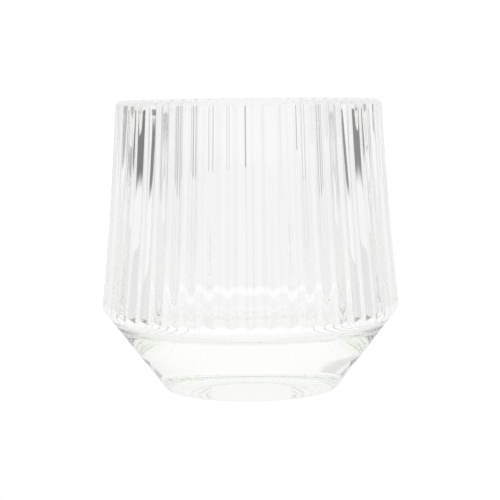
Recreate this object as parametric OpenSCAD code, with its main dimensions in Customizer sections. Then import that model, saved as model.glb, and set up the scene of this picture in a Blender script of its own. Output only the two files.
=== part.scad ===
// Tealight holder: one pressed-glass cup with a fluted wall that widens downwards, a
// rounded shoulder, a plain cone below it and a thick, solid foot.
// Millimetres, +Z up. The origin is on the axis, at the plane that the foot rests on.

/* [Body] */
// Overall height
height = 75; // [65:0.5:90]
// Outside radius of the wall where it meets the rim, before rounding
rim_r = 34.3; // [32:0.1:36]
// Outside radius at the shoulder, before rounding
shoulder_r = 38.7; // [37:0.1:42]
// Height of the shoulder above the table
shoulder_z = 21.4; // [20:0.1:28]
// Outside radius of the foot, before rounding
foot_r = 22.4; // [20:0.1:26]

/* [Glass thickness] */
// Thickness of the wall from the ridges to the inside, measured level
wall = 4; // [3:0.1:4.4]
// Height of the inner floor, which is the thickness of the solid base
floor_z = 17; // [14:0.5:19]

/* [Rounding] */
// Radius of the outer edge of the rim
rim_outer_round = 1.6; // [1:0.1:1.7]
// Radius of the inner edge of the rim
rim_inner_round = 1.1; // [0.6:0.1:1.1]
// Radius of the shoulder
shoulder_round = 1.6; // [0.8:0.1:3]
// Radius of the heel, around the foot
heel_round = 1.2; // [0.5:0.1:2]
// Radius between the inner floor and the inner wall
floor_round = 3; // [2:0.5:6]

/* [Underside] */
// Radius of the shallow hollow under the foot
hollow_r = 18; // [14:0.5:19]
// Depth of the hollow at its middle
hollow_depth = 0.6; // [0.3:0.1:1.5]

/* [Flutes] */
// Number of flutes round the wall
flute_count = 52; // [36:1:60]
// Depth of each flute at its middle, where the wall is at its widest
flute_depth = 0.7; // [0.4:0.05:1]
// Width of the ridge left between two flutes, at the shoulder
flute_gap = 0.5; // [0.3:0.1:1]
// Turn of the whole ring of flutes, in degrees
flute_turn = 0; // [0:0.25:10]

/* [Hidden] */
$fn = 96;

// The wall is a cone whose apex lies on the axis, far above the rim.
wall_slope = (shoulder_r - rim_r) / (height - shoulder_z);
wall_angle = atan(wall_slope);
apex_z = height + rim_r / wall_slope;
// The cone below the shoulder, out per unit of height.
base_slope = (shoulder_r - foot_r) / shoulder_z;

// Each flute is a slender cone with its apex at the wall's apex, so that it
// grows with the wall and leaves a ridge that grows with it too.
flute_half = PI * shoulder_r / flute_count - flute_gap / 2;
flute_r = (flute_half * flute_half + flute_depth * flute_depth) / (2 * flute_depth);
shoulder_reach = (apex_z - shoulder_z) / cos(wall_angle);
flute_tilt = wall_angle + asin((flute_r - flute_depth) / shoulder_reach);
// The cutter starts above the rim and ends below the shoulder.
cutter_top = (apex_z - height) / cos(wall_angle) - 6;
cutter_end = shoulder_reach + 14;

// A disc that rounds the corner at p, where the outline turns between the
// directions a and b, both unit vectors that point away from the corner.
function unit(v) = v / norm(v);
function round_centre(p, a, b, r) = p + unit(a + b) * r / sin(acos(a * b) / 2);
function touch(p, a, b, r) = p + a * r / tan(acos(a * b) / 2);

// The piece that rounding takes off a convex corner.
module corner_waste(p, a, b, r) {
    difference() {
        polygon([p, touch(p, a, b, r), round_centre(p, a, b, r), touch(p, b, a, r)]);
        translate(round_centre(p, a, b, r))
            circle(r);
    }
}

outside = [
    [0, 0],
    [foot_r, 0],
    [shoulder_r, shoulder_z],
    [rim_r, height],
    [0, height]
];
up_base = unit([base_slope, 1]);
up_wall = unit([-wall_slope, 1]);

// Half section of the solid blank, before flutes and inside.
module blank_section() {
    difference() {
        polygon(outside);
        corner_waste(outside[1], [-1, 0], up_base, heel_round);
        corner_waste(outside[2], -up_base, up_wall, shoulder_round);
        corner_waste(outside[3], -up_wall, [-1, 0], rim_outer_round);
    }
}

// Half section of the room inside, which runs on above the rim.
inner_rim_r = rim_r - wall;
inner_floor_r = inner_rim_r + wall_slope * (height - floor_z);
above = 5;
module room_section() {
    p = [inner_floor_r, floor_z];
    q = [inner_rim_r, height];
    difference() {
        polygon([[0, floor_z], p, q, [inner_rim_r, height + above], [0, height + above]]);
        corner_waste(p, [-1, 0], up_wall, floor_round);
    }
    corner_waste(q, -up_wall, [1, 0], rim_inner_round);
}

// The hollow under the foot is the cap of a large ball.
hollow_ball = (hollow_r * hollow_r + hollow_depth * hollow_depth) / (2 * hollow_depth);

// One flute's cutter, longer than the wall at both ends.
module flute() {
    grow = flute_r / shoulder_reach;
    translate([0, 0, apex_z])
        rotate([0, 180 - flute_tilt, 0])
            translate([0, 0, cutter_top])
                cylinder(h = cutter_end - cutter_top, r1 = grow * cutter_top, r2 = grow * cutter_end);
}

module glass_holder() {
    color([0.90, 0.94, 0.91, 0.45])
    difference() {
        rotate_extrude() blank_section();
        rotate_extrude() room_section();
        translate([0, 0, hollow_depth - hollow_ball])
            sphere(hollow_ball);
        for (i = [0:flute_count - 1])
            rotate(flute_turn + i * 360 / flute_count)
                flute();
    }
}

glass_holder();
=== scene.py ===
"""Looks of the tealight holder: one cup of clear pressed glass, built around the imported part."""

import math

import bpy
import numpy as np
from mathutils import Matrix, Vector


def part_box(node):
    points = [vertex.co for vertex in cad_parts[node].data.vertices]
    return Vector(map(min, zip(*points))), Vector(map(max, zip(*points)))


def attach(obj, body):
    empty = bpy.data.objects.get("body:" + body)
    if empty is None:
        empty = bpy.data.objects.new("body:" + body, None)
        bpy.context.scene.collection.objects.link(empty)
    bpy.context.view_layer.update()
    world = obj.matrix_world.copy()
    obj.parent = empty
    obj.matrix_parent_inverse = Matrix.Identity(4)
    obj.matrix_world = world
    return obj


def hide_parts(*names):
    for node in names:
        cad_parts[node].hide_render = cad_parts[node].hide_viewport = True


MM = 0.001
DEGREES = 180 / math.pi

# Shape, in millimetres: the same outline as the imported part.
RIM_R = 34.3
SHOULDER_R = 38.7
SHOULDER_Z = 21.4
FOOT_R = 22.4
WALL = 4.0
FLOOR_Z = 17.0
RIM_ROUND = 1.6
INNER_RIM_ROUND = 1.1
SHOULDER_ROUND = 1.6
HEEL_ROUND = 1.2
FLOOR_ROUND = 3.0
HOLLOW_R = 18.0
HOLLOW_DEPTH = 0.6
# Pressed walls pull in a little between rim and shoulder as the glass cools.
WALL_BOW = 0.4

# Ribs: a narrow valley, an evenly sloping flank and a broad rounded crest.
RIBS = 52
RIB_DEPTH = 0.74
# (way from valley to crest, share of the depth that is left there), rounded from a fit to the
# stripes that the photograph shows through the glass.
RIB_SHAPE = ((0.0, 1.0), (0.12, 0.89), (0.28, 0.71), (0.5, 0.41), (0.75, 0.15), (1.0, 0.0))
RIB_SOFTNESS = 0.04
# The ribs are carved only above this height.
RIB_LOWEST_Z = 0.55 * SHOULDER_Z

# Waves on the inner wall, in millimetres: they fade out towards the floor and the rim.
WAVE_SEED = 7
WAVES = 9
WAVE_SIZE = 0.012
WAVE_FADE = 6.0
WAVE_LOW_Z = FLOOR_Z + 4
WAVE_RIM_GAP = 2.0

# Mesh: columns across a rib, points on each round and spacing of the rows, in millimetres.
COLUMNS_PER_RIB = 20
DISC_ROWS = 14
ARC_ROWS = {"heel": 9, "shoulder": 15, "rim": 13, "inner rim": 9, "floor": 11}
ROW_GAP = {
    "foot": 1.0, "cone": 1.5, "rib ends": 0.16, "above shoulder": 0.3, "wall": 2.0,
    "below rim": 0.25, "rim top": 0.5, "inside": 2.5,
}
# The cone is plain up to this share of its height, and this share of the wall at each end
# has closer rows.
CONE_PLAIN = 0.8
WALL_END = 0.05

# Glass: soda glass with a faint yellow-green tint. Sizes in metres, scales per metre.
GLASS_IOR = 1.52
TINT = (0.80, 0.93, 0.60, 1.0)
TINT_DENSITY = 1.4
RIPPLE_SCALE = 90.0
RIPPLE_DEPTH = 0.00001
RIPPLE_STRENGTH = 0.5
SMUDGE_SCALE = 28.0
SMUDGE_RANGE = (0.5, 0.8)
SMUDGE_ROUGHNESS = 0.02

# Camera, in millimetres and degrees.
CAMERA_BACK = 429.0
CAMERA_UP = 80.2
CAMERA_PITCH = 5.9
CAMERA_ROLL = 0.6
CAMERA_LENS = 118.9
CAMERA_SENSOR = 36.0
CAMERA_NEAREST = 0.01

# Studio: white all round, a little brighter above, with dim gaps beyond the table.
# Each gap is (azimuth from, to, elevation from, to, share of light left, width of the
# soft edge), in degrees; azimuth 0 is straight behind the cup, + to the right.
# They were set after a solve of the directions that feed the photograph's dark streaks, and
# adjusted against it render by render.
STUDIO_LEVEL = 1.01
STUDIO_GAPS = (
    (-80.0, -45.0, 1.8, 5.6, 0.2, 1.4),
    (-44.0, -26.0, -3.0, 3.2, 0.5, 2.4),
    (-66.0, -24.0, 5.6, 8.5, 0.8, 1.4),
    (32.0, 46.0, -3.0, 3.2, 0.5, 2.4),
    (47.0, 79.0, 2.2, 5.8, 0.26, 1.4),
    (-136.0, -100.0, 1.8, 5.8, 0.22, 1.4),
    (100.0, 136.0, 1.8, 5.8, 0.22, 1.4),
    (-130.0, -86.0, -20.0, 14.0, 0.88, 8.0),
    (86.0, 130.0, -20.0, 14.0, 0.88, 8.0),
    (-200.0, 200.0, -99.0, 8.0, 0.94, 6.0),
    (-200.0, 200.0, 45.0, 99.0, 0.95, 10.0),
)
# Table top: half its size and its place below the foot, in metres, and how its glow falls from the
# middle to the sides between two azimuths, in degrees. The glow is painted light in place of lamp
# light, so the top takes no shadow, and its fall towards the sides is painted shade.
TABLE_HALF = (1.0, 1.6)
TABLE_DROP = 0.0004
TABLE_SHADE_FALL = (8.0, 60.0)
# Glow of the table in the middle and painted shade at its sides.
TABLE_MIDDLE_GLOW = 0.93
TABLE_SIDE_SHADE = 0.81

LIGHT_BOUNCES = 32
MIRROR_BOUNCES = 16


def corner_arc(corner, before, after, radius, count):
    """Points of the arc that rounds a corner between its two neighbours."""
    corner, before, after = (np.array(v, float) for v in (corner, before, after))
    a = (before - corner) / np.linalg.norm(before - corner)
    b = (after - corner) / np.linalg.norm(after - corner)
    half = math.acos(float(np.clip(a @ b, -1, 1))) / 2
    middle = corner + (a + b) / np.linalg.norm(a + b) * radius / math.sin(half)
    start = corner + a * radius / math.tan(half) - middle
    end = corner + b * radius / math.tan(half) - middle
    first = math.atan2(start[1], start[0])
    turn = math.atan2(end[1], end[0]) - first
    turn = (turn + math.pi) % (2 * math.pi) - math.pi
    angles = first + turn * np.linspace(0, 1, count)
    return middle + radius * np.c_[np.cos(angles), np.sin(angles)]


def between(start, end, gap):
    """Points between start and end, both left out, about gap apart."""
    start, end = np.array(start, float), np.array(end, float)
    parts = max(1, math.ceil(float(np.linalg.norm(end - start)) / gap))
    return start + (end - start) * (np.arange(1, parts) / parts)[:, None]


def underside():
    """The shallow hollow under the foot, from the axis outwards."""
    ball = (HOLLOW_R**2 + HOLLOW_DEPTH**2) / (2 * HOLLOW_DEPTH)
    r = np.linspace(0, HOLLOW_R, DISC_ROWS)
    return np.c_[r, HOLLOW_DEPTH - ball + np.sqrt(ball**2 - r**2)]


def wall_slope(height):
    """How fast the wall widens downwards."""
    return (SHOULDER_R - RIM_R) / (height - SHOULDER_Z)


def outline(height):
    """The whole section as (radius, height) rows, and the index of the first row on top."""
    foot, shoulder, rim = (FOOT_R, 0), (SHOULDER_R, SHOULDER_Z), (RIM_R, height)
    inner_rim = (RIM_R - WALL, height)
    inner_floor = (inner_rim[0] + wall_slope(height) * (height - FLOOR_Z), FLOOR_Z)
    hollow = underside()
    heel = corner_arc(foot, (0, 0), shoulder, HEEL_ROUND, ARC_ROWS["heel"])
    bend = corner_arc(shoulder, foot, rim, SHOULDER_ROUND, ARC_ROWS["shoulder"])
    edge = corner_arc(rim, shoulder, (0, height), RIM_ROUND, ARC_ROWS["rim"])
    inner_edge = corner_arc(inner_rim, rim, inner_floor, INNER_RIM_ROUND, ARC_ROWS["inner rim"])
    corner = corner_arc(inner_floor, inner_rim, (0, FLOOR_Z), FLOOR_ROUND, ARC_ROWS["floor"])
    low = heel[-1] + (bend[0] - heel[-1]) * CONE_PLAIN
    above = bend[-1] + (edge[0] - bend[-1]) * WALL_END
    below = edge[0] + (bend[-1] - edge[0]) * WALL_END
    floor_r = np.linspace(corner[-1][0], 0, DISC_ROWS)[1:]
    rows = [
        hollow, between(hollow[-1], heel[0], ROW_GAP["foot"]),
        heel, between(heel[-1], low, ROW_GAP["cone"]),
        [low], between(low, bend[0], ROW_GAP["rib ends"]),
        bend, between(bend[-1], above, ROW_GAP["above shoulder"]),
        [above], between(above, below, ROW_GAP["wall"]),
        [below], between(below, edge[0], ROW_GAP["below rim"]),
        edge, between(edge[-1], inner_edge[0], ROW_GAP["rim top"]),
        inner_edge, between(inner_edge[-1], corner[0], ROW_GAP["inside"]),
        corner, np.c_[floor_r, np.full(len(floor_r), FLOOR_Z)],
    ]
    rows = np.concatenate([np.asarray(r, float).reshape(-1, 2) for r in rows])
    apart = np.linalg.norm(np.diff(rows, axis=0), axis=1) > 1e-4
    rows = rows[np.r_[True, apart]]
    return rows, int(np.argmax(rows[:, 1] >= height - 1e-6))


def rib_profile():
    """Depth below the crest across one rib, from crest to crest, at mid height."""
    u = np.abs((np.arange(COLUMNS_PER_RIB) + 0.5) / COLUMNS_PER_RIB * 2 - 1)
    knots, share = np.array(RIB_SHAPE).T
    slope = np.gradient(share, knots)
    slope[0] = slope[-1] = 0.0
    i = np.clip(np.searchsorted(knots, u, "right") - 1, 0, len(knots) - 2)
    gap = knots[i + 1] - knots[i]
    t = (u - knots[i]) / gap
    start = share[i] * (1 + 2 * t) * (1 - t) ** 2 + slope[i] * gap * t * (1 - t) ** 2
    end = share[i + 1] * t * t * (3 - 2 * t) + slope[i + 1] * gap * t * t * (t - 1)
    return RIB_DEPTH * (start + end)


def carved_radii(rows, top, height):
    """Radius for every column and row, with the ribs carved out of the outer wall."""
    r, z = rows[:, 0], rows[:, 1]
    slope = wall_slope(height)
    across = 1 / math.sqrt(1 + slope * slope)
    wall_r = RIM_R + slope * (height - z)
    inside = (wall_r - r) * across
    depth = np.tile(rib_profile(), RIBS)[:, None] * (2 * wall_r / (RIM_R + SHOULDER_R))[None, :]
    gap = inside[None, :] - depth
    deeper = 0.5 * (inside[None, :] + depth + np.sqrt(gap**2 + RIB_SOFTNESS**2))
    deeper = np.where(gap > 6 * RIB_SOFTNESS, inside[None, :], deeper)
    up = np.clip((z - SHOULDER_Z) / (height - SHOULDER_Z), 0, 1)
    bow = WALL_BOW * 4 * up * (1 - up)
    carved = wall_r[None, :] - deeper / across - bow[None, :]
    outer = (np.arange(len(rows)) <= top) & (z > RIB_LOWEST_Z)
    return np.where(outer[None, :], carved, r[None, :])


def add_waves(radii, rows, top, angles, height):
    """Very shallow waves on the inner wall, as pressed glass has."""
    rng = np.random.default_rng(WAVE_SEED)
    z = rows[:, 1]
    wave = np.zeros_like(radii)
    for _ in range(WAVES):
        around, up = rng.integers(1, 8), rng.uniform(0.4, 2.5)
        shift = rng.uniform(0, 2 * math.pi, 2)
        side = np.sin(around * angles[:, None] + shift[0])
        wave += side * np.sin(up * 2 * math.pi * z[None, :] / height + shift[1])
    high_z = height - WAVE_RIM_GAP
    inner = (np.arange(len(rows)) > top) & (z > WAVE_LOW_Z) & (z < high_z)
    fade = np.clip((z - WAVE_LOW_Z) / WAVE_FADE, 0, 1) * np.clip((high_z - z) / WAVE_FADE, 0, 1)
    return radii + np.where(inner[None, :], WAVE_SIZE * wave * fade[None, :], 0)


def cup_faces(columns, count):
    """Quads between the columns, and a fan of triangles at each pole."""
    this = np.arange(columns)
    that = (this + 1) % columns
    up = np.arange(count - 1)
    a, b = this[:, None] * count + up, that[:, None] * count + up
    faces = np.stack([a, b, b + 1, a + 1], -1).reshape(-1, 4).tolist()
    low, high, last = columns * count, columns * count + 1, count - 1
    pairs = list(zip(this.tolist(), that.tolist()))
    faces += [[low, j * count, i * count] for i, j in pairs]
    faces += [[high, i * count + last, j * count + last] for i, j in pairs]
    return faces


def cup_mesh(height):
    """The closed cup mesh: columns of points round the axis and one point at each pole."""
    rows, top = outline(height)
    columns = RIBS * COLUMNS_PER_RIB
    angles = (np.arange(columns) + 0.5) * 2 * math.pi / columns - math.pi / RIBS
    radii = add_waves(carved_radii(rows, top, height), rows, top, angles, height)
    x = radii * np.sin(angles)[:, None]
    y = -radii * np.cos(angles)[:, None]
    z = np.repeat(rows[None, :, 1], columns, 0)
    ring = np.stack([x, y, z], -1)[:, 1:-1].reshape(-1, 3)
    verts = np.vstack([ring, [[0, 0, rows[0, 1]], [0, 0, rows[-1, 1]]]]) * MM
    mesh = bpy.data.meshes.new("fluted_cup")
    mesh.from_pydata(verts.tolist(), [], cup_faces(columns, len(rows) - 2))
    mesh.polygons.foreach_set("use_smooth", [True] * len(mesh.polygons))
    mesh.update()
    return mesh


def noise(tree, place, scale, detail):
    """The value of a noise texture that sits on the object."""
    node = tree.nodes.new("ShaderNodeTexNoise")
    node.inputs["Scale"].default_value = scale
    node.inputs["Detail"].default_value = detail
    tree.links.new(place.outputs["Object"], node.inputs["Vector"])
    return node.outputs["Fac"]


def glass_material():
    """Clear soda glass with a faint green cast, slight surface ripple and a few smudges."""
    mat = bpy.data.materials.new("clear_glass")
    mat.use_nodes = True
    tree = mat.node_tree
    tree.nodes.clear()
    link = tree.links.new
    out = tree.nodes.new("ShaderNodeOutputMaterial")
    glass = tree.nodes.new("ShaderNodeBsdfPrincipled")
    glass.inputs["Base Color"].default_value = (1.0, 1.0, 1.0, 1.0)
    glass.inputs["Transmission Weight"].default_value = 1.0
    glass.inputs["IOR"].default_value = GLASS_IOR
    link(glass.outputs["BSDF"], out.inputs["Surface"])
    tint = tree.nodes.new("ShaderNodeVolumeAbsorption")
    tint.inputs["Color"].default_value = TINT
    tint.inputs["Density"].default_value = TINT_DENSITY
    link(tint.outputs["Volume"], out.inputs["Volume"])
    place = tree.nodes.new("ShaderNodeTexCoord")
    bump = tree.nodes.new("ShaderNodeBump")
    bump.inputs["Strength"].default_value = RIPPLE_STRENGTH
    bump.inputs["Distance"].default_value = RIPPLE_DEPTH
    link(noise(tree, place, RIPPLE_SCALE, 1.0), bump.inputs["Height"])
    link(bump.outputs["Normal"], glass.inputs["Normal"])
    rough = tree.nodes.new("ShaderNodeMapRange")
    rough.inputs["From Min"].default_value, rough.inputs["From Max"].default_value = SMUDGE_RANGE
    rough.inputs["To Min"].default_value = 0.0
    rough.inputs["To Max"].default_value = SMUDGE_ROUGHNESS
    link(noise(tree, place, SMUDGE_SCALE, 3.0), rough.inputs["Value"])
    link(rough.outputs["Result"], glass.inputs["Roughness"])
    return mat


def make_cup():
    """The cup, standing for the CAD node."""
    low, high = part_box("glass_holder")
    cup = bpy.data.objects.new("fluted_cup", cup_mesh((high.z - low.z) / MM))
    cup.location = (0.0, 0.0, low.z)
    bpy.context.scene.collection.objects.link(cup)
    cup.data.materials.append(glass_material())
    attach(cup, "root")
    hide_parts("glass_holder")


def math_node(tree, operation, *values):
    """A Math node fed with numbers or with other nodes' outputs."""
    node = tree.nodes.new("ShaderNodeMath")
    node.operation = operation
    for socket, value in zip(node.inputs, values):
        if isinstance(value, (int, float)):
            socket.default_value = value
        else:
            tree.links.new(value, socket)
    return node.outputs[0]


def soft_step(tree, value, edge, width):
    """0 below the edge and 1 above it, with a smooth change of the given width."""
    node = tree.nodes.new("ShaderNodeMapRange")
    node.interpolation_type = "SMOOTHSTEP"
    node.inputs["From Min"].default_value = edge - width / 2
    node.inputs["From Max"].default_value = edge + width / 2
    tree.links.new(value, node.inputs["Value"])
    return node.outputs["Result"]


def window(tree, value, low, high, width):
    """1 between low and high, 0 outside, with soft edges."""
    rise = soft_step(tree, value, low, width)
    fall = soft_step(tree, value, high, width)
    return math_node(tree, "SUBTRACT", rise, fall)


def split_place(tree, output):
    """The X, Y and Z of one of the texture coordinates."""
    place = tree.nodes.new("ShaderNodeTexCoord")
    split = tree.nodes.new("ShaderNodeSeparateXYZ")
    tree.links.new(place.outputs[output], split.inputs[0])
    return split.outputs


def white_in_view(tree, level):
    """The level, but plain white where nothing stands between the camera and this surface."""
    path = tree.nodes.new("ShaderNodeLightPath")
    return math_node(tree, "MAXIMUM", level, path.outputs["Is Camera Ray"])


def gap_light(tree, azimuth, elevation):
    """The share of the studio's light that the gaps leave in a direction."""
    left = 1.0
    for az0, az1, el0, el1, kept, width in STUDIO_GAPS:
        sideways = window(tree, azimuth, az0, az1, width)
        upright = window(tree, elevation, el0, el1, width)
        dim = math_node(tree, "MULTIPLY", sideways, upright)
        dim = math_node(tree, "MULTIPLY", dim, 1 - kept)
        left = math_node(tree, "MULTIPLY", left, math_node(tree, "SUBTRACT", 1.0, dim))
    return left


def make_studio():
    """White light from everywhere, except for the dim gaps beyond the table."""
    world = bpy.data.worlds.new("studio")
    bpy.context.scene.world = world
    world.use_nodes = True
    tree = world.node_tree
    tree.nodes.clear()
    out = tree.nodes.new("ShaderNodeOutputWorld")
    light = tree.nodes.new("ShaderNodeBackground")
    light.inputs["Color"].default_value = (1.0, 1.0, 1.0, 1.0)
    tree.links.new(light.outputs[0], out.inputs["Surface"])
    axes = split_place(tree, "Generated")
    azimuth = math_node(tree, "ARCTAN2", axes["X"], axes["Y"])
    azimuth = math_node(tree, "MULTIPLY", azimuth, DEGREES)
    elevation = math_node(tree, "ARCSINE", axes["Z"])
    elevation = math_node(tree, "MULTIPLY", elevation, DEGREES)
    level = math_node(tree, "MULTIPLY", gap_light(tree, azimuth, elevation), STUDIO_LEVEL)
    tree.links.new(white_in_view(tree, level), light.inputs["Strength"])


def painted_glow_table_material():
    """Painted light: an even white glow in place of lamp light, which falls off a little towards
    the sides as painted shade, as the glass sees it.
    """
    mat = bpy.data.materials.new("table_painted_glow")
    mat.use_nodes = True
    tree = mat.node_tree
    tree.nodes.clear()
    out = tree.nodes.new("ShaderNodeOutputMaterial")
    # Painted light: the table top glows instead of being lit by lamps.
    glow = tree.nodes.new("ShaderNodeEmission")
    glow.inputs["Color"].default_value = (1.0, 1.0, 1.0, 1.0)
    tree.links.new(glow.outputs[0], out.inputs["Surface"])
    axes = split_place(tree, "Object")
    across = math_node(tree, "ABSOLUTE", axes["X"])
    along = math_node(tree, "ABSOLUTE", axes["Y"])
    azimuth = math_node(tree, "ARCTAN2", across, along)
    azimuth = math_node(tree, "MULTIPLY", azimuth, DEGREES)
    # Painted shade: the glow dims from the middle of the table towards its sides.
    fall = tree.nodes.new("ShaderNodeMapRange")
    fall.interpolation_type = "SMOOTHSTEP"
    fall.inputs["From Min"].default_value, fall.inputs["From Max"].default_value = TABLE_SHADE_FALL
    fall.inputs["To Min"].default_value = TABLE_MIDDLE_GLOW
    fall.inputs["To Max"].default_value = TABLE_SIDE_SHADE
    tree.links.new(azimuth, fall.inputs["Value"])
    tree.links.new(white_in_view(tree, fall.outputs["Result"]), glow.inputs["Strength"])
    return mat


def make_table():
    """The white table top, which glows as painted light, so that it takes no shadow."""
    across, along = TABLE_HALF
    mesh = bpy.data.meshes.new("table_top")
    corners = [(-across, -along, 0), (across, -along, 0), (across, along, 0), (-across, along, 0)]
    mesh.from_pydata(corners, [], [(0, 1, 2, 3)])
    mesh.materials.append(painted_glow_table_material())
    table = bpy.data.objects.new("table_top", mesh)
    table.location.z = -TABLE_DROP
    bpy.context.scene.collection.objects.link(table)


def make_camera():
    """The camera at the photograph's angle."""
    data = bpy.data.cameras.new("camera")
    data.sensor_width = CAMERA_SENSOR
    data.lens = CAMERA_LENS
    data.clip_start = CAMERA_NEAREST
    camera = bpy.data.objects.new("camera", data)
    bpy.context.scene.collection.objects.link(camera)
    tilt = Matrix.Rotation(math.radians(90 - CAMERA_PITCH), 4, "X")
    roll = Matrix.Rotation(math.radians(-CAMERA_ROLL), 4, "Z")
    place = Matrix.Translation((0, -CAMERA_BACK * MM, CAMERA_UP * MM))
    camera.matrix_world = place @ tilt @ roll
    bpy.context.scene.camera = camera


def set_render():
    """Enough bounces for light to get through the glass and the ribs."""
    scene = bpy.context.scene
    scene.view_settings.view_transform = "Standard"
    scene.cycles.max_bounces = LIGHT_BOUNCES
    scene.cycles.transmission_bounces = LIGHT_BOUNCES
    scene.cycles.glossy_bounces = MIRROR_BOUNCES
    scene.cycles.use_denoising = True


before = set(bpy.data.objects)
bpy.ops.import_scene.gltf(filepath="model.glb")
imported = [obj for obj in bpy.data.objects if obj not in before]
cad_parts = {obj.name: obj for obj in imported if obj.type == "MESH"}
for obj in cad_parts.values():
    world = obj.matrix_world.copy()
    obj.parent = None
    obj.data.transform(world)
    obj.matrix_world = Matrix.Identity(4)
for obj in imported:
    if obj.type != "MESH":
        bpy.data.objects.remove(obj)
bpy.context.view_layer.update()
make_cup()
make_table()
make_studio()
make_camera()
set_render()
